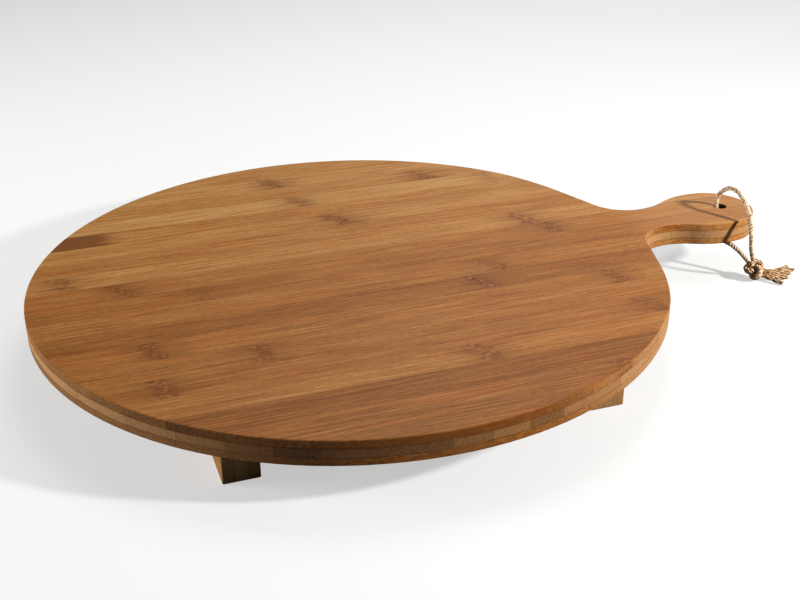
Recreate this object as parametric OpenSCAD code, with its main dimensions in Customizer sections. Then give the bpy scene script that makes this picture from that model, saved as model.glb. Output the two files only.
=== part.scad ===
// Round serving board for pizza: a three-ply bamboo panel with a handle,
// two laminated battens under it, and a rope loop through the handle.
// Millimetres. +X points along the grain towards the handle, +Z is up,
// and the origin is the middle of the board's outline on the surface it stands on.

/* [Disc] */
// Diameter of the round serving area
disc_d = 400; // [340:1:440]
// How much larger than the disc's the radius of the flatter flanks beside the handle is
flank_extra_r = 20; // [10:1:60]
// How far the flanks lie inside the circle, on the handle's axis
flank_drop = 4; // [2:0.5:6]

/* [Panel] */
// Thickness of the top ply
top_ply_t = 5; // [3:0.5:8]
// Thickness of the core ply
core_ply_t = 5.5; // [3:0.5:8]
// Thickness of the bottom ply
bottom_ply_t = 4.5; // [3:0.5:8]
// Number of strips in the top ply, and in the bottom ply
face_strips = 20; // [16:1:20]
// Number of strips in the core ply, across the handle
core_strips = 24; // [18:1:24]
// Width that is cut off each side of the top and bottom plies, beyond the disc
face_trim = 10; // [6:0.5:20]
// How far the top and bottom plies lie off the disc's centre before they are cut
face_shift = 4.2; // [0:0.2:5.8]
// Length that is cut off each end of the core ply, beyond the board
core_trim = 7.6; // [7.4:0.2:16]
// How far the core ply lies off the board's middle before it is cut
core_shift = 7.2; // [0:0.2:7.2]

/* [Handle] */
// Angle between the handle's axis and the grain, in degrees
handle_turn = 1.6; // [-3:0.1:3]
// Distance from the disc's edge to the neck's narrowest place
neck_out = 21.5; // [18:0.5:30]
// Distance from the neck's narrowest place to the widest place of the handle's end
throat_l = 45.5; // [38:0.5:60]
// Distance from that widest place to the handle's tip
bulb_l = 31.4; // [26:0.2:36]
// Width of the neck at its narrowest place
neck_w = 32.8; // [24:0.2:40]
// Radius of the hollow between the disc and the neck
root_r = 27; // [20:0.5:32]
// Width of the handle's end at its widest place
bulb_w = 56.8; // [50:0.2:66]
// Radius of the shoulders on the handle's end
shoulder_r = 50; // [44:1:60]
// Diameter of the rope hole
hole_d = 9; // [8:0.5:14]
// Distance from the tip back to the rope hole's centre
hole_back = 21.7; // [16:0.1:26]

/* [Battens] */
// How far a batten's ends lie inside the disc's edge, along its outer side
batten_inset = 12; // [6:0.5:60]
// Width of a batten
batten_w = 20.5; // [12:0.5:40]
// Height of a batten
batten_h = 24.5; // [15:0.5:40]
// Distance between the centre lines of the two battens
batten_pitch = 211; // [120:1:240]
// Number of laminations side by side in a batten
laminations = 3; // [1:1:3]

/* [Rope] */
// Diameter of the rope
rope_d = 3.4; // [2.5:0.1:4]
// Width of the knot
knot_w = 16; // [14:0.5:17]
// Height of the knot
knot_h = 15; // [13:0.5:15.5]
// Thickness of one turn of the knot, with the turn that it lies on
knot_turn_d = 9; // [7:0.5:10]
// Diameter of a loosened strand at the rope's ends
strand_d = 2.6; // [2:0.1:3]

/* [Hidden] */
// Most nodes that each ply is shared out over: a node takes strips that lie apart from each other
top_lots = 20;
core_lots = 24;
bottom_lots = 4;
// How far arcs that flow into each other cross, so that their edges meet cleanly
bite = 0.02;
// How far cutting shapes run past what they cut
overrun = 1;
// Sides of the round outlines, of the hole and of the rope
round_fn = 240;
hole_fn = 48;
knot_fn = 16;
rope_fn = 8;

disc_r = disc_d / 2;
bottom_ply_z = batten_h;
core_ply_z = bottom_ply_z + bottom_ply_t;
top_ply_z = core_ply_z + core_ply_t;

// The handle's outline, in the handle's own frame: its axis runs along X from the disc's centre
flank_r = disc_r + flank_extra_r;
flank_x = disc_r - flank_drop - flank_r;
neck_half = neck_w / 2;
waist_x = disc_r + neck_out;
bulb_x = waist_x + throat_l;
reach = bulb_x + bulb_l;
shoulder_y = shoulder_r - bulb_w / 2;
tip_r = (pow(shoulder_r, 2) - pow(bulb_l, 2) - pow(shoulder_y, 2)) / (2 * (shoulder_r - bulb_l));
tip_x = reach - tip_r - bite;
// The throat is the hollow between the neck and a shoulder, and touches both
touch_r = shoulder_r - bite;
throat_r = (pow(throat_l, 2) + pow(neck_half + shoulder_y, 2) - pow(touch_r, 2))
    / (2 * (touch_r - neck_half - shoulder_y));
throat = [waist_x, neck_half + throat_r];
shoulder = [bulb_x, -shoulder_y];
root = [waist_x, neck_half + root_r];
// The straight run between a flank and the hollow at the root touches both
flank_to_root = root - [flank_x, 0];
run_angle = atan2(flank_to_root[1], flank_to_root[0])
    + acos(min(1, (flank_r + root_r - 2 * bite) / norm(flank_to_root)));
run_out = [cos(run_angle), sin(run_angle)];
throat_out = (throat - shoulder) / norm(throat - shoulder);
tip_out = ([tip_x, 0] - shoulder) / norm([tip_x, 0] - shoulder);
web_side = [
    [flank_x, 0] + (flank_r - bite) * run_out,
    root - (root_r - bite) * run_out,
    [waist_x, neck_half + root_r / 2],
    shoulder + (shoulder_r - bite) * throat_out,
];

// The board's outline is centred on the origin along X, so the disc's centre lies behind it
front_x = tip_x * cos(handle_turn) + tip_r + bite;
disc_x = (disc_r - front_x) / 2;

// Strip k of a face ply lies between strip_y(k) and strip_y(k + 1), and one of the core between two values of strip_x
face_sheet_w = disc_d + 2 * face_trim;
core_sheet_l = disc_r + front_x + 2 * core_trim;
function strip_y(k) = face_shift + face_sheet_w * ((k - 1) / face_strips - 1 / 2);
function strip_x(k) = core_shift - disc_x + core_sheet_l * ((k - 1) / core_strips - 1 / 2);

// A strip outside the neck is cut in two by the waist: one piece in the disc, one in the handle's end
waist_y = waist_x * sin(handle_turn);
bulb_y = bulb_x * sin(handle_turn);
function in_neck(k) = strip_y(k) < waist_y + neck_half && strip_y(k + 1) > waist_y - neck_half;
function in_bulb(k) = strip_y(k) < bulb_y + bulb_w / 2 && strip_y(k + 1) > bulb_y - bulb_w / 2;
bulb_front = [for (k = [1 : face_strips]) if (in_bulb(k) && !in_neck(k) && strip_y(k) < waist_y) k];
bulb_behind = [for (k = [1 : face_strips]) if (in_bulb(k) && !in_neck(k) && strip_y(k) > waist_y) k];
function is_cut(k) = in_bulb(k) && !in_neck(k);

function lots(count, most) = min(count, most);
function lot(i, count, most) = [for (k = [i : lots(count, most) : count]) k];
function names(stem, count) = [for (i = [1 : count]) str(stem, i)];

// A batten ends short of the disc's edge on its outer side
batten_l = 2 * (sqrt(pow(disc_r, 2) - pow((batten_pitch + batten_w) / 2, 2)) - batten_inset);

// Places along the rope, by hand, in the part's own frame
rope_over_route = [
    [225.5, 9, 32], [225.5, 9, 36.5], [225.5, 9.5, 40.5], [226, 10, 44], [226.5, 8.5, 48.5], [227.5, 5, 52.5],
    [228, 0.5, 55.5], [228.5, -5, 56.5], [229, -10, 56], [229, -14.5, 54], [229.5, -18.5, 51],
    [229.5, -22, 48], [229, -25.5, 45], [228, -29, 41.5], [227, -32, 37], [226.5, -34, 31.5],
    [226.5, -35, 26], [228, -35, 20], [230, -34.5, 15],
];
rope_under_route = [
    [225.5, 9, 32], [225.5, 9, 29], [225.5, 8.5, 26], [225, 7, 23], [224.5, 4.5, 21], [223.5, 1, 20],
    [223, -3, 19.5], [222.5, -7, 20], [222.5, -11, 20.5], [223, -14.5, 20.5], [224.5, -17.5, 19.5],
    [226.5, -20.5, 17.5], [228.5, -23.5, 15], [230, -26.5, 12.5], [231, -29.5, 10.5],
];
knot_place = [232, -35, 7.8];
knot_angle = 10;
tail_routes = [
    [[237, -33, 6.5], [243, -31.5, 4.5], [249, -30.5, 3], [257, -29.5, 2.5], [265, -28, 2.5]],
    [[237, -34, 5.5], [243, -33, 3.5], [249, -33, 2.5], [257, -34, 1.6], [263, -35.5, 1.6]],
    [[236, -37, 5.5], [241, -37.5, 3.5], [246, -38.5, 2.5], [251, -39, 1.8], [255, -40, 1.6]],
    [[235, -38.5, 5], [238, -40.5, 3.5], [240.5, -43.5, 2.5], [242.5, -47, 1.8], [244, -50.5, 1.6]],
];

TOP = names("top_strip_", lots(face_strips, top_lots));
CORE = names("core_strip_", lots(core_strips, core_lots));
BOTTOM = names("bottom_strips_", lots(face_strips, bottom_lots));
LEFT = names("left_batten_slat_", laminations);
RIGHT = names("right_batten_slat_", laminations);

// Colours
top_colours = [[0.72, 0.49, 0.27], [0.67, 0.44, 0.24], [0.76, 0.53, 0.3]];
core_colours = [[0.8, 0.63, 0.42], [0.73, 0.56, 0.37]];
bottom_colours = [[0.66, 0.45, 0.25], [0.6, 0.4, 0.22]];
slat_colours = [[0.55, 0.38, 0.22], [0.49, 0.33, 0.19]];
rope_colour = [0.8, 0.68, 0.5];

module round_plate(x, y, r, t) {
    translate([x, y, 0]) cylinder(r = r, h = t, $fn = round_fn);
}

module disc(t) {
    intersection() {
        round_plate(0, 0, disc_r, t);
        round_plate(flank_x, 0, flank_r, t);
    }
}

// The material beside the neck, which the two hollows then cut back
module web(t) {
    linear_extrude(t) polygon(concat(
        [[0, 0]], web_side, [[bulb_x, 0]],
        [for (i = [len(web_side) - 1 : -1 : 0]) [web_side[i][0], -web_side[i][1]]]));
}

module bulb(t) {
    tangent_x = tip_x + tip_r * tip_out[0];
    intersection() {
        round_plate(bulb_x, -shoulder_y, shoulder_r, t);
        round_plate(bulb_x, shoulder_y, shoulder_r, t);
        translate([tangent_x - 2 * shoulder_r, -bulb_w, 0]) cube([2 * shoulder_r, 2 * bulb_w, t]);
    }
    round_plate(tip_x, 0, tip_r + bite, t);
}

// A hollow beside the neck has a tight half next to the disc and a wide half next to the handle's end
module hollow(t) {
    intersection() {
        round_plate(root[0], root[1], root_r, t);
        translate([root[0] - 2 * root_r, 0, 0]) cube([2 * root_r, root[1] + 2 * root_r, t]);
    }
    intersection() {
        round_plate(throat[0], throat[1], throat_r, t);
        translate([throat[0], 0, 0]) cube([2 * throat_r, throat[1] + 2 * throat_r, t]);
    }
}

// One ply of the whole board, with its rope hole, in the disc's frame
module ply(z, t) {
    cut_t = t + 2 * overrun;
    translate([0, 0, z]) rotate(handle_turn) difference() {
        union() {
            disc(t);
            web(t);
            bulb(t);
        }
        translate([0, 0, -overrun]) {
            hollow(cut_t);
            mirror([0, 1, 0]) hollow(cut_t);
            translate([reach - hole_back, 0, 0]) cylinder(d = hole_d, h = cut_t, $fn = hole_fn);
        }
    }
}

// The piece of one ply between x0 and x1, and between y0 and y1
module ply_piece(z, t, x0, x1, y0, y1) {
    translate([disc_x, 0, 0]) intersection() {
        ply(z, t);
        translate([x0, y0, z - overrun]) cube([x1 - x0, y1 - y0, t + 2 * overrun]);
    }
}

module face_strip(k, z, t) {
    end_x = is_cut(k) ? waist_x : front_x + overrun;
    ply_piece(z, t, -disc_r - overrun, end_x, strip_y(k), strip_y(k + 1));
}

module bulb_strip(k, z, t) {
    ply_piece(z, t, waist_x, front_x + overrun, strip_y(k), strip_y(k + 1));
}

module top_strip(i) {
    for (k = lot(i, face_strips, top_lots))
        color(top_colours[i % len(top_colours)]) face_strip(k, top_ply_z, top_ply_t);
}

module top_bulb(strips) {
    for (k = strips) color(top_colours[k % len(top_colours)]) bulb_strip(k, top_ply_z, top_ply_t);
}

module core_strip(i) {
    for (k = lot(i, core_strips, core_lots)) color(core_colours[i % len(core_colours)])
        ply_piece(core_ply_z, core_ply_t, strip_x(k), strip_x(k + 1), -disc_r - overrun, disc_r + overrun);
}

module bottom_strips(i) {
    for (k = lot(i, face_strips, bottom_lots)) color(bottom_colours[i % len(bottom_colours)]) {
        face_strip(k, bottom_ply_z, bottom_ply_t);
        if (is_cut(k)) bulb_strip(k, bottom_ply_z, bottom_ply_t);
    }
}

// A batten is laminated from upright slats, side by side from its left to its right
module slat(centre_x, i) {
    slat_w = batten_w / laminations;
    left_x = disc_x + centre_x - batten_w / 2;
    color(slat_colours[i % len(slat_colours)]) translate([left_x + (i - 1) * slat_w, -batten_l / 2, 0])
        cube([slat_w, batten_l, batten_h]);
}

// A tube along a list of points, as one closed solid with flat ends
function unit(v) = v / norm(v);
function heading(p, i) = unit(p[min(i + 1, len(p) - 1)] - p[max(i - 1, 0)]);
function carried(side, along) = unit(side - (side * along) * along);
function sides(p, i = 0, side = [1, 0, 0]) =
    i == len(p) ? [] : let (s = carried(side, heading(p, i))) concat([s], sides(p, i + 1, s));
module tube(p, d) {
    side = sides(p);
    rings = [for (i = [0 : len(p) - 1]) let (u = side[i], v = cross(heading(p, i), u))
        for (a = [0 : rope_fn - 1])
            p[i] + d / 2 * (cos(a * 360 / rope_fn) * u + sin(a * 360 / rope_fn) * v)];
    wall = [for (i = [0 : len(p) - 2], a = [0 : rope_fn - 1]) let (b = (a + 1) % rope_fn, r = i * rope_fn)
        each [[r + a, r + rope_fn + a, r + b], [r + b, r + rope_fn + a, r + rope_fn + b]]];
    start = [for (a = [1 : rope_fn - 2]) [0, a, a + 1]];
    last = (len(p) - 1) * rope_fn;
    finish = [for (a = [1 : rope_fn - 2]) [last, last + a + 1, last + a]];
    polyhedron(rings, concat(start, wall, finish));
}

module rope_over() { color(rope_colour) tube(rope_over_route, rope_d); }

module rope_under() { color(rope_colour) tube(rope_under_route, rope_d); }

// The knot's outer form: turns of rope drawn together into a lump
module rope_knot() {
    out = (knot_w - knot_turn_d) / 2;
    up = (knot_h - knot_turn_d) / 2;
    color(rope_colour) translate(knot_place) hull() {
        for (a = [0 : 90 : 270])
            rotate(knot_angle + a) translate([out, 0, 0]) sphere(d = knot_turn_d, $fn = knot_fn);
        for (z = [-up, up]) translate([0, 0, z]) sphere(d = knot_turn_d, $fn = knot_fn);
    }
}

module rope_tails() {
    for (route = tail_routes) color(rope_colour) tube(route, strand_d);
}

for (i = [1 : len(TOP)]) top_strip(i);
top_bulb(bulb_front);  // top_bulb_front
top_bulb(bulb_behind);  // top_bulb_back
for (i = [1 : len(CORE)]) core_strip(i);
for (i = [1 : len(BOTTOM)]) bottom_strips(i);
for (i = [1 : len(LEFT)]) slat(-batten_pitch / 2, i);
for (i = [1 : len(RIGHT)]) slat(batten_pitch / 2, i);
rope_over();
rope_under();
rope_knot();
rope_tails();
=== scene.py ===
import math
import random

import bmesh
import bpy
from mathutils import Matrix, Vector, noise


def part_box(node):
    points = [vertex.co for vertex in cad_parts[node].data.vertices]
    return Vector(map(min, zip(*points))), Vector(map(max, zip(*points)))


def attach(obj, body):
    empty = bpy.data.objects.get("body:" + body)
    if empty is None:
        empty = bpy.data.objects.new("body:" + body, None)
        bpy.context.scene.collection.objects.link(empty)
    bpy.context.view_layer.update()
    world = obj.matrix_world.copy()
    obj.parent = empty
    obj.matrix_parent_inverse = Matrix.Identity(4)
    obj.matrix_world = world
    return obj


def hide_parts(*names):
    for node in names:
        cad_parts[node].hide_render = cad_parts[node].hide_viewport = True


bl_info = {
    "name": "Serving board",
    "version": (1, 0, 0),
    "blender": (4, 5, 0),
    "location": "View3D > Sidebar > Serving board",
    "description": "Dresses the packed model of a round bamboo serving board with a rope loop",
    "category": "Object",
}

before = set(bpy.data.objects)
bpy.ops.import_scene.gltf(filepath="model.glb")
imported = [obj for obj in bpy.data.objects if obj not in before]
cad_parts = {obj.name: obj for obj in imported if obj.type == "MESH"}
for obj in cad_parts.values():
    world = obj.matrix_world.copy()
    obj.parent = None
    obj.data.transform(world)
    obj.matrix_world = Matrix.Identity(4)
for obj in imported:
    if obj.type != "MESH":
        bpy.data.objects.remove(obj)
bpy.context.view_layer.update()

MM = 0.001
TURN = 2 * math.pi
# A face is square to an axis when its normal's share along it is above SQUARE, and heights less than NEAR
# apart count as one
SQUARE = 0.9999
NEAR = 0.01 * MM

# Where the strips' glue lines lie, read from strips that run the whole way between two of them
FACE_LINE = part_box("top_strip_2")[0][1]
FACE_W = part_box("top_strip_2")[1][1] - FACE_LINE
CORE_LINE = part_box("core_strip_2")[0][0]
CORE_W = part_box("core_strip_2")[1][0] - CORE_LINE
PANEL_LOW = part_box("bottom_strips_1")[0][2]
CORE_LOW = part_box("core_strip_2")[0][2]
TOP_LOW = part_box("top_strip_2")[0][2]
PANEL_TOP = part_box("top_strip_2")[1][2]
TOP_STRIPS = [f"top_strip_{i}" for i in range(1, 21)]
CORE_STRIPS = [f"core_strip_{i}" for i in range(1, 25)]
BOTTOM_STRIPS = [f"bottom_strips_{i}" for i in range(1, 5)]
SLATS = {side: [f"{side}_batten_slat_{i}" for i in (1, 2, 3)] for side in ("left", "right")}
DISC_X = (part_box("left_batten_slat_1")[0][0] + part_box("right_batten_slat_3")[1][0]) / 2

# Places along the rope, as the part's source has them, in millimetres
ROPE_OVER = [
    (225.5, 9, 32), (225.5, 9, 36.5), (225.5, 9.5, 40.5), (226, 10, 44), (226.5, 8.5, 48.5), (227.5, 5, 52.5),
    (228, 0.5, 55.5), (228.5, -5, 56.5), (229, -10, 56), (229, -14.5, 54), (229.5, -18.5, 51),
    (229.5, -22, 48), (229, -25.5, 45), (228, -29, 41.5), (227, -32, 37), (226.5, -34, 31.5),
    (226.5, -35, 26), (228, -35, 20), (230, -34.5, 15),
]
ROPE_UNDER = [
    (225.5, 9, 32), (225.5, 9, 29), (225.5, 8.5, 26), (225, 7, 23), (224.5, 4.5, 21), (223.5, 1, 20),
    (223, -3, 19.5), (222.5, -7, 20), (222.5, -11, 20.5), (223, -14.5, 20.5), (224.5, -17.5, 19.5),
    (226.5, -20.5, 17.5), (228.5, -23.5, 15), (230, -26.5, 12.5), (231, -29.5, 10.5),
]
ROPE_X, ROPE_Y = 0.2255, 0.009
ROPE_D = 0.0034


class Value:
    """A socket that carries a number, so that shader maths reads as an expression."""

    def __init__(self, sheet, socket):
        self.sheet = sheet
        self.socket = socket

    def math(self, operation, *others, clamp=False):
        settings = {"operation": operation, "use_clamp": clamp}
        return Value(self.sheet, self.sheet.add("ShaderNodeMath", settings, [self, *others]).outputs[0])

    def __add__(self, other):
        return self.math("ADD", other)

    __radd__ = __add__

    def __mul__(self, other):
        return self.math("MULTIPLY", other)

    __rmul__ = __mul__

    def __sub__(self, other):
        return self.math("SUBTRACT", other)

    def __rsub__(self, other):
        return self * -1 + other

    def __pow__(self, other):
        return self.math("POWER", other)

    def __abs__(self):
        return self.math("ABSOLUTE")

    def held(self):
        """The value kept between 0 and 1."""
        return self.math("ADD", 0, clamp=True)

    def over(self, low, high):
        """0 at low, 1 at high, with a soft start and end."""
        sockets = {"Value": self, "From Min": low, "From Max": high}
        node = self.sheet.add("ShaderNodeMapRange", {"interpolation_type": "SMOOTHSTEP"}, sockets)
        return Value(self.sheet, node.outputs["Result"])


class Sheet:
    """The node tree of a material or of the world while it is made."""

    def __init__(self, owner):
        owner.use_nodes = True
        self.owner = owner
        self.tree = owner.node_tree
        self.tree.nodes.clear()

    def add(self, kind, settings=None, sockets=None):
        """A node of that kind: its settings first, then the values or links of its sockets."""
        node = self.tree.nodes.new(kind)
        for name, value in (settings or {}).items():
            if name == "stops":
                self.set_stops(node.color_ramp, value)
            else:
                setattr(node, name, value)
        sockets = sockets or {}
        pairs = sockets.items() if isinstance(sockets, dict) else enumerate(sockets)
        for key, value in pairs:
            source = getattr(value, "socket", value)
            if isinstance(source, bpy.types.NodeSocket):
                self.tree.links.new(source, node.inputs[key])
            else:
                node.inputs[key].default_value = source
        return node

    def set_stops(self, ramp, stops):
        while len(ramp.elements) < len(stops):
            ramp.elements.new(1)
        for element, (place, colour) in zip(ramp.elements, stops):
            element.position = place
            element.color = (*colour, 1)

    def place(self):
        """The object's own three coordinates."""
        split = self.add("ShaderNodeSeparateXYZ", {}, [self.add("ShaderNodeTexCoord").outputs["Object"]])
        return [Value(self, output) for output in split.outputs]

    def attribute(self, name):
        return Value(self, self.add("ShaderNodeAttribute", {"attribute_name": name}).outputs["Fac"])

    def point(self, x, y, z):
        return self.add("ShaderNodeCombineXYZ", {}, [x, y, z]).outputs[0]

    def noise(self, x, y, z, detail=2.0, roughness=0.5):
        sockets = {"Vector": self.point(x, y, z), "Scale": 1.0, "Detail": detail, "Roughness": roughness}
        return Value(self, self.add("ShaderNodeTexNoise", {}, sockets).outputs[0])

    def cells(self, x, y, z):
        node = self.add("ShaderNodeTexVoronoi", {}, {"Vector": self.point(x, y, z), "Scale": 1.0})
        return Value(self, node.outputs["Distance"])

    def ramp(self, value, stops):
        return self.add("ShaderNodeValToRGB", {"stops": stops}, [value]).outputs[0]

    def mix(self, factor, one, other, blend="MIX"):
        sockets = {0: factor}
        for key, colour in ((6, one), (7, other)):
            sockets[key] = colour if isinstance(colour, bpy.types.NodeSocket) else (*colour, 1)
        settings = {"data_type": "RGBA", "blend_type": blend, "clamp_factor": True}
        return self.add("ShaderNodeMix", settings, sockets).outputs[2]

    def finish(self, colour, roughness, height, height_mm, shine):
        """The material with one shader, whose bumps are up to height_mm high."""
        bump = self.add("ShaderNodeBump", {}, {"Strength": 1.0, "Distance": height_mm * MM, "Height": height})
        shader = self.add("ShaderNodeBsdfPrincipled", {}, {
            "Base Color": colour, "Roughness": roughness, "Normal": bump.outputs[0],
            "Specular IOR Level": shine})
        self.add("ShaderNodeOutputMaterial", {}, [shader.outputs[0]])
        return self.owner


class BoardSettings(bpy.types.PropertyGroup):
    """Sizes and colours of the panel and its battens"""
    edge_round: bpy.props.FloatProperty(
        name="Edge round", description="Radius of the panel's upper edge",
        default=0.0007, subtype="DISTANCE")
    under_round: bpy.props.FloatProperty(
        name="Lower edge round", description="Radius of the panel's lower edge",
        default=0.0004, subtype="DISTANCE")
    hole_round: bpy.props.FloatProperty(
        name="Hole round", description="Radius of the rope hole's eased edges",
        default=0.0006, subtype="DISTANCE")
    batten_round: bpy.props.FloatProperty(
        name="Batten round", description="Radius of the battens' eased edges",
        default=0.0008, subtype="DISTANCE")
    dark: bpy.props.FloatVectorProperty(
        name="Dark bamboo", description="Colour of the darkest fibres",
        default=(0.185, 0.064, 0.014), subtype="COLOR")
    middle: bpy.props.FloatVectorProperty(
        name="Bamboo", description="Colour of most of the wood",
        default=(0.365, 0.142, 0.032), subtype="COLOR")
    light: bpy.props.FloatVectorProperty(
        name="Light bamboo", description="Colour of the lightest fibres",
        default=(0.53, 0.295, 0.105), subtype="COLOR")
    shade: bpy.props.FloatVectorProperty(
        name="Knuckle shade", description="Colour round a knuckle",
        default=(0.20, 0.068, 0.016), subtype="COLOR")
    knuckle: bpy.props.FloatVectorProperty(
        name="Knuckle", description="Colour of a knuckle's marks and of the stain",
        default=(0.14, 0.040, 0.008), subtype="COLOR")
    ember: bpy.props.FloatVectorProperty(
        name="Knuckle red", description="Colour between a knuckle's marks",
        default=(0.46, 0.165, 0.055), subtype="COLOR")
    core: bpy.props.FloatVectorProperty(
        name="Core bamboo", description="Colour of the core ply's wood",
        default=(0.47, 0.255, 0.115), subtype="COLOR")
    end_dark: bpy.props.FloatVectorProperty(
        name="Dark end grain", description="Colour of the darkest end grain",
        default=(0.095, 0.036, 0.012), subtype="COLOR")
    end_middle: bpy.props.FloatVectorProperty(
        name="End grain", description="Colour of most end grain",
        default=(0.35, 0.168, 0.064), subtype="COLOR")
    # The palest end grain, also the colour of the painted sheen on the handle's top and of the painted light
    # on the ends
    end_light: bpy.props.FloatVectorProperty(
        name="Light end grain", description="Colour of the lightest end grain",
        default=(0.60, 0.365, 0.175), subtype="COLOR")
    # Painted shade: the hole's wall gets this near black for the shade inside the hole
    hole: bpy.props.FloatVectorProperty(
        name="Hole", description="Colour of the rope hole's wall",
        default=(0.02, 0.009, 0.004), subtype="COLOR")
    gloss: bpy.props.FloatProperty(
        name="Roughness", description="Roughness of the oiled wood",
        default=0.52, min=0, max=1)


class RopeSettings(bpy.types.PropertyGroup):
    """Sizes and colours of the rope"""
    strands: bpy.props.IntProperty(
        name="Strands", description="Strands twisted into the rope",
        default=3, min=2)
    lay: bpy.props.FloatProperty(
        name="Lay", description="Length of one full turn of a strand",
        default=0.0062, subtype="DISTANCE")
    light: bpy.props.FloatVectorProperty(
        name="Light fibre", description="Colour of the lightest fibres",
        default=(0.88, 0.69, 0.49), subtype="COLOR")
    middle: bpy.props.FloatVectorProperty(
        name="Fibre", description="Colour of most of the rope",
        default=(0.60, 0.41, 0.25), subtype="COLOR")
    # The dark fibre colour is also what the painted shade between the strands runs toward
    dark: bpy.props.FloatVectorProperty(
        name="Dark fibre", description="Colour between the fibres",
        default=(0.20, 0.115, 0.055), subtype="COLOR")


class StageSettings(bpy.types.PropertyGroup):
    """The camera, the floor and the lights"""
    lens: bpy.props.FloatProperty(
        name="Lens", description="Focal length in millimetres",
        default=52.83)
    floor: bpy.props.FloatVectorProperty(
        name="Floor", description="Colour of the floor",
        default=(0.97, 0.97, 0.965), subtype="COLOR")
    bounce: bpy.props.FloatProperty(
        name="Bounce", description="Share of its light that the floor throws back at the board",
        default=0.15)
    glow: bpy.props.FloatProperty(
        name="Floor glow", description="Share of the floor's look that its shadows leave alone",
        default=0.55)
    world: bpy.props.FloatProperty(
        name="Room light", description="Strength of the light all round",
        default=0.04)
    wall: bpy.props.FloatProperty(
        name="Wall", description="Brightness of what shows past the floor",
        default=0.8)
    key: bpy.props.FloatProperty(
        name="Key light", description="Power in watts of the low light on the right",
        default=17.0)
    side: bpy.props.FloatProperty(
        name="Side light", description="Power in watts of the soft light on the left",
        default=13.8)
    far: bpy.props.FloatProperty(
        name="Far light", description="Power in watts of the wide light behind",
        default=1.9)
    back: bpy.props.FloatProperty(
        name="Back light", description="Power in watts of the soft light above",
        default=3.6)


def board_settings():
    return bpy.context.scene.serving_board


def rope_settings():
    return bpy.context.scene.serving_board_rope


def stage_settings():
    return bpy.context.scene.serving_board_stage


def add_object(name, mesh, material):
    piece = bpy.data.objects.new(name, mesh)
    bpy.context.scene.collection.objects.link(piece)
    mesh.materials.append(material)
    return piece


def add_piece(name, node, mesh, material):
    """A visible piece that stands for a node."""
    piece = add_object(name, mesh, material)
    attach(piece, "root")
    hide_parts(node)
    return piece


# Wood

# Points closer than MERGE become one, and so do faces that turn by less than FLAT_TURN at their border
MERGE = 0.001 * MM
FLAT_TURN = math.radians(0.1)
# A face is glued when it lies this near a glue line, or in a batten this far inside its outer sides
LINE_SLACK = 0.02 * MM
SLAT_SLACK = 0.1 * MM
# The hole's points lie this near the rope, and its edges this near its own axis
HOLE_SEARCH = 8 * MM
HOLE_REACH = 6 * MM


def is_level(face):
    return abs(face.normal.z) > SQUARE


def is_upright(face):
    return abs(face.normal.z) < 0.5


def on_line(value, first, width):
    """Whether a place lies on one of the evenly spaced glue lines."""
    steps = (value - first) / width
    return abs(steps - round(steps)) * width < LINE_SLACK


def face_glued(face):
    return abs(face.normal.y) > SQUARE and on_line(face.calc_center_median().y, FACE_LINE, FACE_W)


def core_glued(face):
    return abs(face.normal.x) > SQUARE and on_line(face.calc_center_median().x, CORE_LINE, CORE_W)


def eased_copy(node, along, glued, ease):
    """A merged copy of a node's mesh. ease gives the radius for an edge, or 0, and glued says which faces
    touch a neighbour: their borders stay sharp, so that the neighbours' surfaces meet. The attribute end says
    how far a face cuts across the fibres, which run along x or y: 1 or -1 for end grain. The attribute
    flank is 1 on a rim that runs with them, and says where the rim gets painted shade."""
    form = bmesh.new()
    form.from_mesh(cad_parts[node].data)
    bmesh.ops.remove_doubles(form, verts=form.verts, dist=MERGE)
    bmesh.ops.dissolve_limit(form, angle_limit=FLAT_TURN, verts=form.verts, edges=form.edges)
    form.normal_update()
    for radius in sorted({ease(edge) for edge in form.edges} - {0}):
        edges = [edge for edge in form.edges if ease(edge) == radius]
        bmesh.ops.bevel(
            form, geom=edges, offset=radius, offset_type="OFFSET", segments=4, profile=0.5, affect="EDGES",
            clamp_overlap=True, material=-1)
    form.normal_update()
    for face in form.faces:
        face.smooth = not is_level(face) and not glued(face)
    for edge in form.edges:
        edge.smooth = not any(glued(face) for face in edge.link_faces)
    end_layer = form.verts.layers.float.new("end")
    rim_shade_layer = form.verts.layers.float.new("flank")
    for vert in form.verts:
        sides = [face.normal[0 if along == "x" else 1] for face in vert.link_faces
                 if is_upright(face) and not glued(face)]
        vert[end_layer] = sum(sides) / len(sides) if sides else 0.0
        vert[rim_shade_layer] = 1 - abs(vert[end_layer]) if sides else 0.0
    mesh = bpy.data.meshes.new(node + "_wood")
    form.to_mesh(mesh)
    form.free()
    return mesh


def hole_centre():
    """The rope hole's axis: the middle of the core strip's points that lie round the rope."""
    ring = [v.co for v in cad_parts["core_strip_23"].data.vertices
            if math.hypot(v.co.x - ROPE_X, v.co.y - ROPE_Y) < HOLE_SEARCH]
    xs = [point.x for point in ring]
    ys = [point.y for point in ring]
    return Vector(((min(xs) + max(xs)) / 2, (min(ys) + max(ys)) / 2, 0))


HOLE = hole_centre()


def panel_ease(outer_z):
    """What says how round an edge gets: one between the panel's outer face at that height and its rim, or one
    of the hole."""
    settings = board_settings()
    rim_round = settings.edge_round if outer_z == PANEL_TOP else settings.under_round

    def ease(edge):
        if len(edge.link_faces) != 2:
            return 0
        level = [face for face in edge.link_faces if is_level(face)]
        if len(level) != 1 or any(face_glued(face) for face in edge.link_faces):
            return 0
        middle = (edge.verts[0].co + edge.verts[1].co) / 2
        if abs(middle.z - outer_z) > NEAR:
            return 0
        return settings.hole_round if (middle - HOLE).xy.length < HOLE_REACH else rim_round

    return ease


def no_ease(edge):
    return 0


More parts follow.
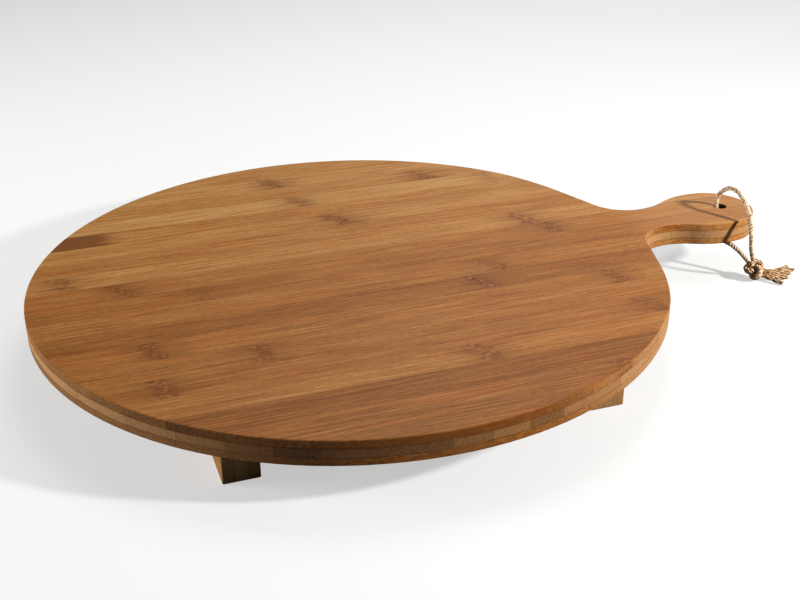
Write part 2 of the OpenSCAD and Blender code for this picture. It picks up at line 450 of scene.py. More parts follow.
# How far one step of a seed shifts the pattern, and where the seeds of each ply and batten start
SEED_STEP = 3.7
CORE_SEED = 30
BOTTOM_SEED = 60
BATTEN_SEEDS = {"left": 80, "right": 90}
# How far one step of tone moves the wood along its ramp of colours
TONE_STEP = 0.1
# How much each kind of streak counts in the wood's pattern of light and dark
FINE_SHARE = 0.06
BAND_SHARE = 0.15
CLOUD_SHARE = 0.14
HAIR_SHARE = 1.3
GRIT_SHARE = 0.5
DASH_SHARE = 0.05
# The dark dots along the fibres and on end grain: how wide they are beside their distance, and how much
# they count
VESSEL_SIZE = 0.3
VESSEL_SHARE = 0.32
SPECK_SIZE = 0.45
SPECK_SHARE = 0.95
# How much of the pattern shows on end grain, and how far a face turns across the fibres where end grain
# starts and is full
END_SHARE = 0.4
END_FADE = (0.15, 0.75)
# What the redder patches are multiplied by
RED_TINT = (1.08, 0.86, 0.66)
# Along the board, where the painted shade on the rim fades out, and where a painted sheen makes the
# handle's top face paler, how deep under that face it reaches and how strong it is
RIM_SHADE_FADE = (DISC_X + 120 * MM, DISC_X + 185 * MM)
HANDLE_SHEEN_FADE = (DISC_X + 190 * MM, DISC_X + 240 * MM)
HANDLE_SHEEN_DEPTH = 1 * MM
HANDLE_SHEEN = 0.2
# How far a glue line's dark reaches into the strip, its least strength, how much stronger it gets in places,
# and how much stronger it is on end grain
GLUE_W = 0.4 * MM
GLUE_LEAST = 0.12
GLUE_MORE = 0.4
GLUE_END = 0.12
# Distances from a knuckle's middle at which its shade and its marks are full and gone, how strong the shade
# and the red between the marks are, and how far the knuckle wanders in all
SHADE_FADE = (3 * MM, 27 * MM)
MARK_FADE = (2.5 * MM, 9 * MM)
SHADE_SHARE = 0.8
EMBER_SHARE = 0.55
KNUCKLE_WANDER = 16 * MM
# How far the stain's ends wander in all, the shares of its half length at which it is full and gone, and how
# strong it is
STAIN_WANDER = 26 * MM
STAIN_FULL = 0.55
STAIN_GONE = 1.25
STAIN_SHARE = 0.8
# How far a seam between two plies wanders in all, and the distances from it at which it is full and gone
SEAM_WANDER = 0.8 * MM
SEAM_FADE = (0.1 * MM, 0.5 * MM)
# The distances from the hole's axis between which its painted shade ends, and how strong that shade is
HOLE_SHADE_FADE = (4.55 * MM, 4.75 * MM)
HOLE_SHADE_SHARE = 0.85


class Bamboo(Sheet):
    """A material of bamboo whose fibres run along x or y. Seed moves the pattern."""

    def __init__(self, name, along, seed):
        super().__init__(bpy.data.materials.new(name))
        self.x, self.y, self.z = self.place()
        self.grain, self.across = (self.x, self.y) if along == "x" else (self.y, self.x)
        self.shift = seed * SEED_STEP
        self.fine = self.streaks(30, 560, 900, detail=4.0, roughness=0.7)
        self.hair = self.streaks(22, 1350, 1350, (-1, 1), roughness=0.65)
        self.vessel = (VESSEL_SIZE - self.dots(30, 1300)).held()
        band = self.streaks(8, 240, 120, (1, 1), roughness=0.6)
        cloud = self.streaks(14, 90, 30, (1, 1))
        dash = self.streaks(38, 760, 1200, (-1, 0)).over(0.56, 0.7)
        grit = self.streaks(260, 1500, 1500, detail=1.0)
        soft = (self.fine - 0.5) * FINE_SHARE + (band - 0.5) * BAND_SHARE + (cloud - 0.5) * CLOUD_SHARE
        crisp = (self.hair - 0.5) * HAIR_SHARE + (grit - 0.5) * GRIT_SHARE
        self.pattern = soft + crisp - dash * DASH_SHARE - self.vessel * VESSEL_SHARE
        end = self.attribute("end")
        self.high_end = end.over(*END_FADE)
        self.low_end = (end * -1).over(*END_FADE)
        self.any_end = self.high_end + self.low_end

    def streaks(self, lengthways, crossways, upwards, move=(1, 0), detail=2.0, roughness=0.5):
        """Noise with about so many waves a metre along the fibres, across them and upwards. move says which
        way the seed shifts it along and across."""
        return self.noise(
            self.grain * lengthways + self.shift * move[0], self.across * crossways + self.shift * move[1],
            self.z * upwards, detail, roughness)

    def dots(self, lengthways, crossways):
        """The distance to the nearest of scattered points, which are about so many a metre along the fibres
        and across them."""
        return self.cells(self.grain * lengthways + self.shift, self.across * crossways, self.z * crossways)

    # Painted shade: the disc's rim where it runs with the fibres is made darker by the given tone, for the
    # shade on it, fading out toward the handle
    def fibres(self, tone, flank, stops):
        beside = self.attribute("flank") * (1 - self.x.over(*RIM_SHADE_FADE))
        level = self.pattern + (0.5 + TONE_STEP * tone) + beside * (TONE_STEP * flank)
        red = self.streaks(12, 150, 60, (-1, -1)).over(0.42, 0.7)
        return self.mix(red * (0.4 - 0.06 * tone), self.ramp(level, stops), RED_TINT, "MULTIPLY")

    # Painted light: the tones at the low and the high end carry painted shade and painted light as well as
    # the wood's own tone
    def end_grain(self, colour, low_end_tone_and_light, high_end_tone_and_light):
        settings = board_settings()
        speck = (SPECK_SIZE - self.dots(60, 1150)).held()
        level = 0.5 + self.pattern * END_SHARE - speck * SPECK_SHARE
        level = level + self.low_end * (TONE_STEP * low_end_tone_and_light) + self.high_end * (TONE_STEP * high_end_tone_and_light)
        stops = [(0.0, settings.end_dark), (0.5, settings.end_middle), (1.0, settings.end_light)]
        return self.mix(self.any_end, colour, self.ramp(level, stops))

    # Painted sheen: the handle's top face is mixed toward the palest end grain colour, for the sheen of light
    # on it
    def painted_handle_sheen(self, colour):
        handle_sheen = self.x.over(*HANDLE_SHEEN_FADE) * self.z.over(PANEL_TOP - HANDLE_SHEEN_DEPTH, PANEL_TOP)
        return self.mix(handle_sheen * HANDLE_SHEEN, colour, board_settings().end_light)

    def glue_lines(self, colour, middle, width):
        """The lines on both sides of the strip: faint in places, and a little bolder on end grain."""
        side = abs(self.across - middle).over(width / 2 - GLUE_W, width / 2)
        uneven = self.streaks(30, 0, 0).over(0.4, 0.62)
        strength = uneven * GLUE_MORE + GLUE_LEAST + self.any_end * GLUE_END
        return self.mix(side * strength, colour, board_settings().dark)

    def knuckle(self, colour, middle, place, strength, slant):
        """A knuckle's shade, its dark marks and the red between them."""
        settings = board_settings()
        wander = (self.streaks(60, 150, 60, (1, 1), detail=3.0) - 0.5) * KNUCKLE_WANDER
        away = abs(self.grain - place - (self.across - middle) * slant + wander)
        ragged = self.streaks(12, 600, 600).over(0.3, 0.68) * 0.8 + 0.2
        shade = (1 - away.over(*SHADE_FADE)) * ragged * (SHADE_SHARE * strength)
        colour = self.mix(shade, colour, settings.shade)
        core = (1 - away.over(*MARK_FADE)) * strength
        marks = self.streaks(330, 600, 600, detail=3.0, roughness=0.65).over(0.36, 0.64) * 0.9 + 0.1
        colour = self.mix(core * marks, colour, settings.knuckle)
        warm = self.streaks(260, 380, 380, (-1, 0)).over(0.52, 0.64)
        return self.mix(core * warm * EMBER_SHARE, colour, settings.ember)

    def stain(self, colour, place, half):
        wander = (self.streaks(50, 240, 0, (0, 0), detail=3.0) - 0.5) * STAIN_WANDER
        away = abs(self.grain - place + wander)
        mask = 1 - away.over(half * STAIN_FULL, half * STAIN_GONE)
        return self.mix(mask * STAIN_SHARE, colour, board_settings().knuckle)

    def seams(self, colour):
        """The wavy dark lines along the rim where two plies meet."""
        wave = (self.noise(self.x * 120, self.y * 120, 0.0, detail=3.0) - 0.5) * SEAM_WANDER
        bold = self.noise(self.x * 45, self.y * 45, 0.0).over(0.35, 0.65) * 0.5 + 0.3
        for height in (CORE_LOW, TOP_LOW):
            seam = 1 - abs(self.z - height + wave).over(*SEAM_FADE)
            colour = self.mix(seam * bold, colour, board_settings().end_dark)
        return colour

    # Painted shade: near black painted on the hole's wall and its eased edge, for the shade inside the hole
    def painted_hole_shade(self, colour):
        away = ((self.x - HOLE.x) ** 2 + (self.y - HOLE.y) ** 2) ** 0.5
        return self.mix((1 - away.over(*HOLE_SHADE_FADE)) * HOLE_SHADE_SHARE, colour, board_settings().hole)

    def oiled(self, colour):
        roughness = board_settings().gloss + (0.5 - self.fine) * 0.2
        height = (self.fine - 0.5) * 0.6 + (self.hair - 0.5) * 0.5 - self.vessel
        return self.finish(colour, roughness, height, height_mm=0.03, shine=0.22)


def wood(name, tone, seed, along, line=None, width=None, stops=None, ends=(0.0, 0.0), flank=0.0, knuckles=(),
         stain=None):
    """The material of a strip, or of several with no glue lines drawn. Tone makes it lighter or darker. line
    and width say where the strip starts and how wide it is, and stops are its colours. ends is the tone of
    the end grain at the strip's two ends, painted light included, and flank is painted shade added to
    the tone on the disc's rim where it runs with the fibres. A knuckle is (place along the fibres,
    strength, slant), and a stain is (place, half length)."""
    settings = board_settings()
    sheet = Bamboo(name, along, seed)
    stops = stops or [(0.1, settings.dark), (0.5, settings.middle), (0.9, settings.light)]
    colour = sheet.end_grain(sheet.fibres(tone, flank, stops), *ends)
    if along == "x":
        colour = sheet.painted_handle_sheen(colour)
    if line is not None:
        colour = sheet.glue_lines(colour, line + width / 2, width)
    for knuckle in knuckles:
        colour = sheet.knuckle(colour, line + width / 2, *knuckle)
    if stain:
        colour = sheet.stain(colour, *stain)
    return sheet.oiled(sheet.painted_hole_shade(sheet.seams(colour)))


class Strip:
    """How one strip of the top ply looks: its tone, its knuckles as (place, strength, slant), its stain as
    (place, half length), the tones of its end grain, which hold painted shade at the left end and painted
    light at the right as well as the wood's own tone, and the painted shade that its rim adds to its tone.
    Places are in millimetres from the disc's centre."""

    def __init__(self, tone, *knuckles, stain=None, ends=(-1.0, 1.0), flank=0.0):
        self.tone = tone
        self.knuckles = knuckles
        self.stain = stain
        self.ends = ends
        self.flank = flank


# From the front of the board to its back. The tones run darker at the front and lighter at the back: partly
# the strips' own tones, partly painted light for the light and sheen that fall more on the back
TOP_LOOKS = [
    Strip(-2.2, ends=(-3.8, 1.8), flank=-2.4),
    Strip(-1.8, (104, 0.8, -0.3), ends=(-3.4, 2.4)),
    Strip(-2.8, ends=(-3.7, 0.8)),
    Strip(-0.35, (37, 0.8, -0.4), ends=(-2.4, 1.2)),
    Strip(-1.1, (-136, 0.9, -0.3), (153, 0.8, -0.3), ends=(-2.0, 1.0)),
    Strip(-0.95, (-79, 0.9, -0.2), ends=(-1.3, 1.0)),
    Strip(-0.7, (-135, 0.9, -0.3), (151, 0.8, -0.2), ends=(-1.3, 1.0)),
    Strip(-1.95, (71, 1.0, -0.4), ends=(-0.9, 1.0)),
    Strip(-0.55, (86, 0.8, -0.8), ends=(-0.7, 1.0)),
    Strip(-1.25, (-97, 0.4, -0.3)),
    Strip(-0.35, (-141, 0.8, -0.4), (147, 0.9, -0.4)),
    Strip(1.3, (-176, 0.7, -0.3), (136, 0.9, -0.4)),
    Strip(0.3),
    Strip(1.3, (14, 1.0, -0.6)),
    Strip(0.8, stain=(-162, 24)),
    Strip(2.7, (-3, 0.7, -0.4), (144, 0.4, -0.3)),
    Strip(1.1, (99, 0.8, -0.3)),
    Strip(2.1, (-13, 0.8, -0.3)),
    Strip(1.4),
    Strip(1.3),
]
# The two pieces at the handle's end that the neck cuts off their strips
BULB_LOOKS = {"top_bulb_front": Strip(0.3), "top_bulb_back": Strip(0.6)}
# The tones of the core ply's strips and of their end grain, from the far left to the handle. The end grain's
# tones hold painted light as well as the wood's own tone: the ends near the middle, which face the front in
# shade, are darker, and those toward the left and the right are lighter
CORE_TONES = [
    0, 1, -0.5, 0.6, -0.8, 0.8, 0, -0.6, 1, -0.4, 0.4, -2.2, 0.8, -0.6, 0.4, -0.2, 0.9, -0.5, 0.6, 0, 0.5,
    -0.3, 0.4, 0,
]
CORE_END_TONES_AND_LIGHT = [
    1.4, 1.4, 1.2, 0.6, -0.7, -2.2, -1.6, -2.4, -2.8, -1.6, -0.5, -2.4, -0.3, 0.0, 1.2, 0.9, 1.7, 0.6, 2.0,
    1.7, 1.5, 1.8, 1.4, 1.8,
]
# The tones of the bottom ply's nodes in turn; the tones of their end grain, with painted shade at the left
# end and painted light at the right; and the painted shade that their rim adds
BOTTOM_TONES = [0.6, 0.1, 0.6, 0.1]
BOTTOM_END_TONES_AND_LIGHT = (-1.1, 2.0)
BOTTOM_RIM_SHADE = -3.2
# The tones of a batten's slats, and of their end grain. The left batten's end grain is lighter: painted light
# for the fill that reaches its shaded ends under the board
SLAT_TONES = [3.2, 0.9, -2.0]
SLAT_END_TONES_AND_LIGHT = {"left": [3.0, 4.6, 2.0], "right": [1.8, 1.0, 0.8]}


def add_wood(node, mesh, material):
    add_piece(node + "_wood", node, mesh, material)


class OBJECT_OT_serving_board_top(bpy.types.Operator):
    """Make the strips of the top ply, with their knuckles"""
    bl_idname = "object.serving_board_top"
    bl_label = "Top ply"

    def execute(self, context):
        for number, (node, look) in enumerate(zip(TOP_STRIPS, TOP_LOOKS)):
            self.add_strip(node, look, number, FACE_LINE + (number - 1) * FACE_W)
        for number, (node, look) in enumerate(BULB_LOOKS.items(), len(TOP_STRIPS)):
            # The nudge keeps a piece that starts on a line from being counted to the strip before it
            steps = math.floor((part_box(node)[0][1] - FACE_LINE) / FACE_W + 0.01)
            self.add_strip(node, look, number, FACE_LINE + steps * FACE_W)
        return {"FINISHED"}

    def add_strip(self, node, look, seed, line):
        knuckles = [(DISC_X + place * MM, strength, slant) for place, strength, slant in look.knuckles]
        stain = (DISC_X + look.stain[0] * MM, look.stain[1] * MM) if look.stain else None
        material = wood(
            node, look.tone, seed, "x", line, FACE_W, ends=look.ends, flank=look.flank, knuckles=knuckles,
            stain=stain)
        add_wood(node, eased_copy(node, "x", face_glued, panel_ease(PANEL_TOP)), material)


class OBJECT_OT_serving_board_core(bpy.types.Operator):
    """Make the strips of the core ply, whose ends show along the rim"""
    bl_idname = "object.serving_board_core"
    bl_label = "Core ply"

    def execute(self, context):
        pale = Vector(board_settings().core)
        stops = [(0.1, pale * 0.45), (0.5, pale), (0.9, pale * 1.35)]
        for number, (node, tone, end) in enumerate(zip(CORE_STRIPS, CORE_TONES, CORE_END_TONES_AND_LIGHT)):
            line = CORE_LINE + (number - 1) * CORE_W
            material = wood(node, tone, number + CORE_SEED, "y", line, CORE_W, stops, (end, end))
            add_wood(node, eased_copy(node, "y", core_glued, no_ease), material)
        return {"FINISHED"}


class OBJECT_OT_serving_board_bottom(bpy.types.Operator):
    """Make the strips of the bottom ply"""
    bl_idname = "object.serving_board_bottom"
    bl_label = "Bottom ply"

    def execute(self, context):
        for number, (node, tone) in enumerate(zip(BOTTOM_STRIPS, BOTTOM_TONES)):
            material = wood(node, tone, number + BOTTOM_SEED, "x", ends=BOTTOM_END_TONES_AND_LIGHT, flank=BOTTOM_RIM_SHADE)
            add_wood(node, eased_copy(node, "x", face_glued, panel_ease(PANEL_LOW)), material)
        return {"FINISHED"}


class OBJECT_OT_serving_board_battens(bpy.types.Operator):
    """Make the slats of the two battens"""
    bl_idname = "object.serving_board_battens"
    bl_label = "Battens"

    def execute(self, context):
        radius = board_settings().batten_round
        for side, nodes in SLATS.items():
            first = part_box(nodes[0])[0][0] + SLAT_SLACK
            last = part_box(nodes[-1])[1][0] - SLAT_SLACK

            def glued(face):
                middle = face.calc_center_median()
                if face.normal.z > SQUARE:
                    return middle.z > PANEL_LOW - NEAR
                return abs(face.normal.x) > SQUARE and first < middle.x < last

            def ease(edge):
                return 0 if any(glued(face) for face in edge.link_faces) else radius

            for number, (node, tone, end) in enumerate(zip(nodes, SLAT_TONES, SLAT_END_TONES_AND_LIGHT[side])):
                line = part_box(node)[0][0]
                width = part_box(node)[1][0] - line
                material = wood(node, tone, number + BATTEN_SEEDS[side], "y", line, width, ends=(end, end))
                add_wood(node, eased_copy(node, "y", glued, ease), material)
        return {"FINISHED"}


# Rope

# How finely it is made
PATH_STEP = 0.4 * MM
CURVE_PARTS = 24
KNOT_STEPS = 220
STRAND_SIDES = 8
# A strand's thickness beside its share of the rope, how much and how often a metre it changes, and how far
# apart the strands are in the noise that changes it
STRAND_FULL = 1.02
STRAND_ROUGH = 0.2
ROUGH_WAVES = 520
ROUGH_APART = 7.3
# The knot's course: its usual distance from the knot's middle and how far that changes, how far it rises and
# falls, where the two ends tied in it lie beside it, where on it they start, its tilt, and how much thinner
# the rope is in it
KNOT_REACH = 3.7 * MM
KNOT_SWING = 2.1 * MM
KNOT_RISE = 2.2 * MM
KNOT_PAIR = (-1.45 * MM, 1.45 * MM)
KNOT_START = 0.08
KNOT_TILT = Matrix.Rotation(math.radians(-38), 3, "Y") @ Matrix.Rotation(math.radians(24), 3, "X")
KNOT_SQUEEZE = 0.97
KNOT_SEED = 11
# Where the rope's two loose ends run, and the strands that open at their tips, in millimetres
TAILS = [
    [(235.5, -36, 7.5), (242.3, -39.4, 7), (250.3, -38.4, 6.5), (257.5, -36.6, 6.2)],
    [(235.5, -36.5, 6.5), (243.1, -40, 5.8), (252.2, -39.6, 4.8), (261, -38.5, 4.4)],
    [(236, -37, 5), (243.1, -40.6, 4.2), (249.8, -41, 3), (257.3, -39.8, 2.8)],
    [(236, -37.5, 4.5), (241.9, -41.5, 3.2), (247.9, -42.8, 2.2), (253.4, -43.2, 2)],
    [(236, -38, 4), (240, -42.8, 2.8), (242.5, -46.4, 2), (244.6, -49.8, 1.8)],
]
# A loose end's thickness, and how much longer its turns are than the rope's
YARN_D = 0.0027
YARN_SLACK = 2.5
YARN_SEED = 21
# How many short fibres stick out at the tip of each strand, their thickness, and how low they may lie
FIBRES = 26
FIBRE_D = 0.3 * MM
FIBRE_LOW = 0.3 * MM
FIBRE_SEED = 5


def smooth_path(points):
    """Evenly spaced points on a smooth curve through the given ones, which are in millimetres."""
    points = [Vector(point) * MM for point in points]
    ends = [2 * points[0] - points[1], *points, 2 * points[-1] - points[-2]]
    dense = []
    for a, b, c, d in zip(ends, ends[1:], ends[2:], ends[3:]):
        for part in range(CURVE_PARTS):
            t = part / CURVE_PARTS
            dense.append(0.5 * (2 * b + (c - a) * t + (2 * a - 5 * b + 4 * c - d) * t * t
                                + (3 * b - a - 3 * c + d) * t * t * t))
    dense.append(points[-1])
    path = [dense[0]]
    for point in dense[1:]:
        while (point - path[-1]).length >= PATH_STEP:
            path.append(path[-1] + (point - path[-1]).normalized() * PATH_STEP)
    return path


def frames(path):
    """Two directions square to the path at each of its points, turned as little as can be."""
    side = Vector((1, 0, 0))
    found = []
    for i in range(len(path)):
        along = (path[min(i + 1, len(path) - 1)] - path[max(i - 1, 0)]).normalized()
        side = (side - along * side.dot(along)).normalized()
        found.append((side, along.cross(side)))
    return found


def strand_mesh(name, routes, thickness):
    """A mesh of round strands. A route is a list of (place, relative thickness, the rope's middle there). The
    attribute depth is 0 on the rope's outside and 1 towards its middle."""
    form = bmesh.new()
    depth_layer = form.verts.layers.float.new("depth")
    for route in routes:
        places = [step[0] for step in route]
        rings = []
        for (place, size, centre), (u, v) in zip(route, frames(places)):
            inward = centre - place
            reach = inward.length
            ring = []
            for i in range(STRAND_SIDES):
                angle = TURN * i / STRAND_SIDES
                out = (u * math.cos(angle) + v * math.sin(angle)) * (thickness / 2 * size)
                vert = form.verts.new(place + out)
                vert[depth_layer] = 0.5 + 0.5 * out.normalized().dot(inward / reach) if reach > 1e-6 else 0.0
                ring.append(vert)
            rings.append(ring)
        for one, other in zip(rings, rings[1:]):
            for i in range(STRAND_SIDES):
                j = (i + 1) % STRAND_SIDES
                form.faces.new((one[i], one[j], other[j], other[i]))
        form.faces.new(reversed(rings[0]))
        form.faces.new(rings[-1])
    form.normal_update()
    mesh = bpy.data.meshes.new(name)
    form.to_mesh(mesh)
    form.free()
    mesh.shade_smooth()
    return mesh


def twisted(path, diameter, lay, seed, spread=None):
    """The routes of the strands twisted round a path, and one strand's diameter. spread gives how far apart
    they lie at a share of the length."""
    strands = rope_settings().strands
    strand_d = diameter / (1 + 1 / math.sin(math.pi / strands))
    centre_r = (diameter - strand_d) / 2
    step = (path[1] - path[0]).length
    routes = []
    for strand in range(strands):
        route = []
        for i, (place, (u, v)) in enumerate(zip(path, frames(path))):
            wide = centre_r * (spread(i / (len(path) - 1)) if spread else 1)
            angle = TURN * (strand / strands + i * step / lay)
            rough = noise.noise(Vector((i * step * ROUGH_WAVES, strand * ROUGH_APART + seed, seed)))
            out = (u * math.cos(angle) + v * math.sin(angle)) * wide
            route.append((place + out, STRAND_FULL + rough * STRAND_ROUGH, place))
        routes.append(route)
    return routes, strand_d


def rope_material(name, shade=(1.0, 1.0, 1.0), crevice_shade=0.7):
    """Rough plant fibre. The last argument is how strong the painted shade between the strands is, and shade
    darkens all of it.
    """
    settings = rope_settings()
    sheet = Sheet(bpy.data.materials.new(name))
    x, y, z = sheet.place()
    fibre = sheet.noise(x * 1500, y * 1500, z * 700, detail=3.0, roughness=0.7)
    patch = sheet.noise(x * 420, y * 420, z * 420)
    # Painted shade: darker where the strands turn in toward the rope's middle, for the shade between them
    depth = sheet.attribute("depth").over(0.12, 0.5)
    level = 0.68 + (fibre - 0.5) * 2.2 + (patch - 0.5) * 2.6 - depth * crevice_shade
    colours = (settings.dark, settings.middle, settings.light)
    dark, middle, light = (Vector(colour) * Vector(shade) for colour in colours)
    colour = sheet.ramp(level, [(0.05, dark), (0.45, middle), (0.85, light)])
    return sheet.finish(colour, roughness=0.92, height=fibre, height_mm=0.3, shine=0.2)


def add_rope(name, mesh, material):
    return add_piece(name + "_laid", name, mesh, material)


def rope_stretch(name, route, seed):
    """A stretch of the rope, the points that it follows and its length."""
    path = smooth_path(route)
    routes, strand_d = twisted(path, ROPE_D, rope_settings().lay, seed)
    piece = add_rope(name, strand_mesh(name, routes, strand_d), rope_material(name))
    length = sum((b - a).length for a, b in zip(path, path[1:]))
    return piece, path, length


def rope_knot():
    """An overhand knot, tied in both ends together."""
    centre = (Vector(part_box("rope_knot")[0]) + Vector(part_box("rope_knot")[1])) / 2
    routes = []
    for number, beside in enumerate(KNOT_PAIR):
        ring = []
        for i in range(KNOT_STEPS + 1):
            t = TURN * (i / KNOT_STEPS + KNOT_START)
            out = KNOT_REACH + KNOT_SWING * math.cos(3 * t)
            up = KNOT_RISE * math.sin(3 * t) + beside
            ring.append(centre + KNOT_TILT @ Vector((out * math.cos(2 * t), out * math.sin(2 * t), up)))
        more, strand_d = twisted(ring, ROPE_D * KNOT_SQUEEZE, rope_settings().lay, number + KNOT_SEED)
        routes += more
    material = rope_material("knot", shade=(0.95, 0.9, 0.84), crevice_shade=0.4)
    return add_rope("rope_knot", strand_mesh("rope_knot", routes, strand_d), material)


def yarn_spread(share):
    """How far a loose end's strands lie apart: a little closer than in the rope, and open at the tip."""
    return 0.9 + 0.3 * share ** 3


def tip_fibres(route, chance):
    """The routes of the short fibres that stick out at a strand's tip."""
    heading = (route[-1][0] - route[-6][0]).normalized()
    fibres = []
    for _ in range(FIBRES):
        sway = Vector((chance.uniform(-1, 1), chance.uniform(-1, 1), chance.uniform(-0.6, 0.9)))
        start = route[-1 - chance.randrange(1, 8)][0] + sway * 0.45 * MM
        reach = chance.uniform(0.3, 1.3) * MM
        bend = start + heading * reach * 0.6 + sway * 0.2 * MM
        end = start + heading * (reach + 0.7 * MM) + sway * 0.4 * MM
        for place in (start, bend, end):
            place.z = max(place.z, FIBRE_LOW)
        fibres.append([(start, 1.0, start), (bend, 0.9, bend), (end, 0.5, end)])
    return fibres


def rope_tails():
    """The rope's loose ends, which open into their strands and end in short fibres."""
    chance = random.Random(FIBRE_SEED)
    lay = rope_settings().lay * YARN_SLACK
    routes = []
    fibres = []
    for number, tail in enumerate(TAILS):
        more, strand_d = twisted(smooth_path(tail), YARN_D, lay, number + YARN_SEED, yarn_spread)
        routes += more
        for route in more:
            fibres += tip_fibres(route, chance)
    yarn = strand_mesh("rope_tails", routes, strand_d)
    fluff = strand_mesh("rope_fibres", fibres, FIBRE_D)
    joined = bmesh.new()
    joined.from_mesh(yarn)
    joined.from_mesh(fluff)
    joined.to_mesh(yarn)
    joined.free()
    bpy.data.meshes.remove(fluff)
    yarn.shade_smooth()
    return add_rope("rope_tails", yarn, rope_material("tails", shade=(0.66, 0.55, 0.42), crevice_shade=0.5))


class OBJECT_OT_serving_board_rope(bpy.types.Operator):
    """Make the rope loop: its two stretches, its knot and its loose ends"""
    bl_idname = "object.serving_board_rope"
    bl_label = "Rope loop"

    def execute(self, context):
        knot = rope_knot()
        tails = rope_tails()
        over, over_path, over_length = rope_stretch("rope_over", ROPE_OVER, 1)
        under, under_path, under_length = rope_stretch("rope_under", ROPE_UNDER, 2)
        return {"FINISHED"}


# Stage

# Where the camera stands, and the angles in degrees by which it is turned
CAMERA_PLACE = (-0.2391, -0.6517, 0.3538)
CAMERA_HEADING = 18.908
CAMERA_DOWN = 26.514
CAMERA_ROLL = -0.526
SENSOR_W = 36
# The floor lies a little under the feet, so that its face and theirs stay apart
FLOOR_REACH = 12
FLOOR_DROP = 0.05 * MM
ROOM_COLOUR = (1.0, 0.99, 0.98, 1)
# Each light's place, the point that it shines at, its width in metres and its colour
BOARD_MIDDLE = Vector((0.05, 0, 0.04))
KEY_PLACE = BOARD_MIDDLE + Vector((1.70, -1.34, 1.0)).normalized() * 1.05
LIGHTS = {
    "key": (KEY_PLACE, BOARD_MIDDLE, 0.085, (1, 0.985, 0.96)),
    "side": ((-1.15, 0.25, 0.20), (-0.1, 0, 0.04), 0.5, (1, 1, 1)),
    "back": ((0.18, 0.42, 0.90), (0.05, 0.1, 0.04), 0.6, (1, 1, 1)),
    "far": ((0.72, 0.85, 0.62), (0.15, 0, 0.04), 1.2, (1, 1, 1)),
}
# These don't mirror in the wood, where seen from low down they would hide half of the board
UNMIRRORED = ("key", "side")


class OBJECT_OT_serving_board_camera(bpy.types.Operator):
    """Place the camera at the photograph's viewpoint"""
    bl_idname = "object.serving_board_camera"
    bl_label = "Camera"

    def execute(self, context):
        data = bpy.data.cameras.new("camera")
        data.lens = stage_settings().lens
        data.sensor_width = SENSOR_W
        data.clip_start = 0.01
        camera = bpy.data.objects.new("camera", data)
        context.scene.collection.objects.link(camera)
        turn = (Matrix.Rotation(math.radians(-CAMERA_HEADING), 4, "Z")
                @ Matrix.Rotation(math.radians(90 - CAMERA_DOWN), 4, "X")
                @ Matrix.Rotation(math.radians(CAMERA_ROLL), 4, "Z"))
        camera.matrix_world = Matrix.Translation(CAMERA_PLACE) @ turn
        context.scene.camera = camera
        context.scene.view_settings.view_transform = "Standard"
        return {"FINISHED"}


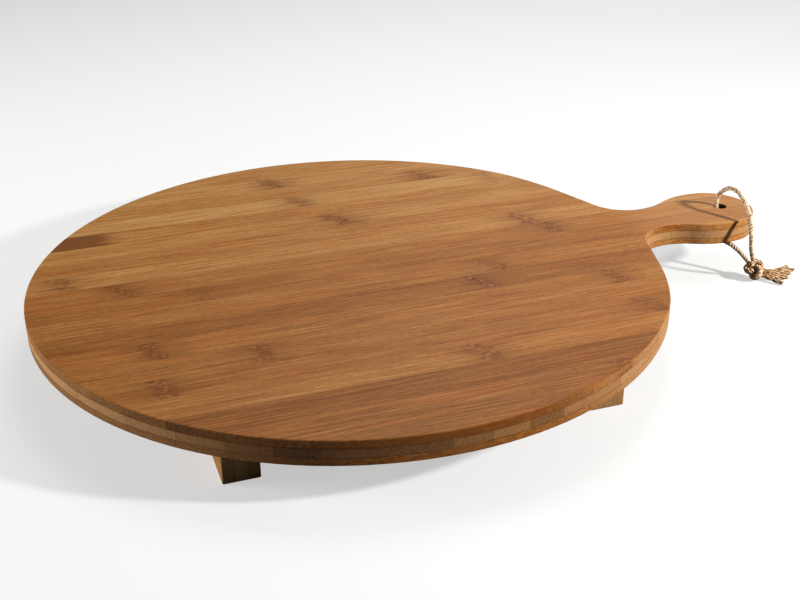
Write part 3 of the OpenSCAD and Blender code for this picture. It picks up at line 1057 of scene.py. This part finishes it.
class OBJECT_OT_serving_board_stage(bpy.types.Operator):
    """Make the floor and the lights"""
    bl_idname = "object.serving_board_stage"
    bl_label = "Stage"

    def execute(self, context):
        settings = stage_settings()
        self.add_floor(settings)
        self.add_room(settings)
        for name, (place, target, size, colour) in LIGHTS.items():
            light = self.add_light(name, place, target, size, colour)
            light.data.energy = getattr(settings, name)
            light.visible_glossy = name not in UNMIRRORED
        return {"FINISHED"}

    def add_floor(self, settings):
        """The floor shows pale, but throws little light back at the board."""
        form = bmesh.new()
        below = Matrix.Translation((0, 0, -FLOOR_DROP))
        bmesh.ops.create_grid(form, x_segments=1, y_segments=1, size=FLOOR_REACH, matrix=below)
        mesh = bpy.data.meshes.new("floor")
        form.to_mesh(mesh)
        form.free()
        colour = Vector(settings.floor)
        sheet = Sheet(bpy.data.materials.new("floor"))
        seen = sheet.add("ShaderNodeBsdfPrincipled", {}, {
            "Base Color": (*(colour * (1 - settings.glow)), 1), "Roughness": 1.0, "Specular IOR Level": 0.0,
            "Emission Color": (*colour, 1), "Emission Strength": settings.glow})
        felt = sheet.add("ShaderNodeBsdfDiffuse", {}, {"Color": (*(colour * settings.bounce), 1)})
        direct = sheet.add("ShaderNodeLightPath").outputs["Is Camera Ray"]
        both = sheet.add("ShaderNodeMixShader", {}, [direct, felt.outputs[0], seen.outputs[0]])
        sheet.add("ShaderNodeOutputMaterial", {}, [both.outputs[0]])
        add_object("floor", mesh, sheet.owner)

    def add_room(self, settings):
        """The room shows pale past the floor, but lights the board little."""
        world = bpy.data.worlds.new("studio")
        sheet = Sheet(world)
        direct = sheet.add("ShaderNodeLightPath").outputs["Is Camera Ray"]
        strength = sheet.add(
            "ShaderNodeMapRange", {}, {"Value": direct, "To Min": settings.world, "To Max": settings.wall})
        background = sheet.add("ShaderNodeBackground", {}, [ROOM_COLOUR, strength.outputs["Result"]])
        sheet.add("ShaderNodeOutputWorld", {}, [background.outputs[0]])
        bpy.context.scene.world = world

    def add_light(self, name, place, target, size, colour):
        data = bpy.data.lights.new(name, "AREA")
        data.shape = "DISK"
        data.size = size
        data.color = colour
        light = bpy.data.objects.new(name, data)
        light.location = place
        light.rotation_euler = (Vector(target) - Vector(place)).to_track_quat("-Z", "Y").to_euler()
        bpy.context.scene.collection.objects.link(light)
        return light


class VIEW3D_PT_serving_board(bpy.types.Panel):
    """The steps that dress the model, in order"""
    bl_idname = "VIEW3D_PT_serving_board"
    bl_label = "Serving board"
    bl_space_type = "VIEW_3D"
    bl_region_type = "UI"
    bl_category = "Serving board"

    def draw(self, context):
        for operator in OPERATORS:
            self.layout.operator(operator.bl_idname)


SETTINGS = [BoardSettings, RopeSettings, StageSettings]
OPERATORS = [
    OBJECT_OT_serving_board_camera, OBJECT_OT_serving_board_rope, OBJECT_OT_serving_board_top,
    OBJECT_OT_serving_board_core, OBJECT_OT_serving_board_bottom, OBJECT_OT_serving_board_battens,
    OBJECT_OT_serving_board_stage,
]


def register():
    for kind in SETTINGS + OPERATORS + [VIEW3D_PT_serving_board]:
        bpy.utils.register_class(kind)
    bpy.types.Scene.serving_board = bpy.props.PointerProperty(type=BoardSettings)
    bpy.types.Scene.serving_board_rope = bpy.props.PointerProperty(type=RopeSettings)
    bpy.types.Scene.serving_board_stage = bpy.props.PointerProperty(type=StageSettings)


def unregister():
    del bpy.types.Scene.serving_board_stage
    del bpy.types.Scene.serving_board_rope
    del bpy.types.Scene.serving_board
    for kind in reversed(SETTINGS + OPERATORS + [VIEW3D_PT_serving_board]):
        bpy.utils.unregister_class(kind)


def main():
    register()
    bpy.ops.object.serving_board_camera()
    bpy.ops.object.serving_board_rope()
    bpy.ops.object.serving_board_top()
    bpy.ops.object.serving_board_core()
    bpy.ops.object.serving_board_bottom()
    bpy.ops.object.serving_board_battens()
    bpy.ops.object.serving_board_stage()


if __name__ == "__main__":
    main()
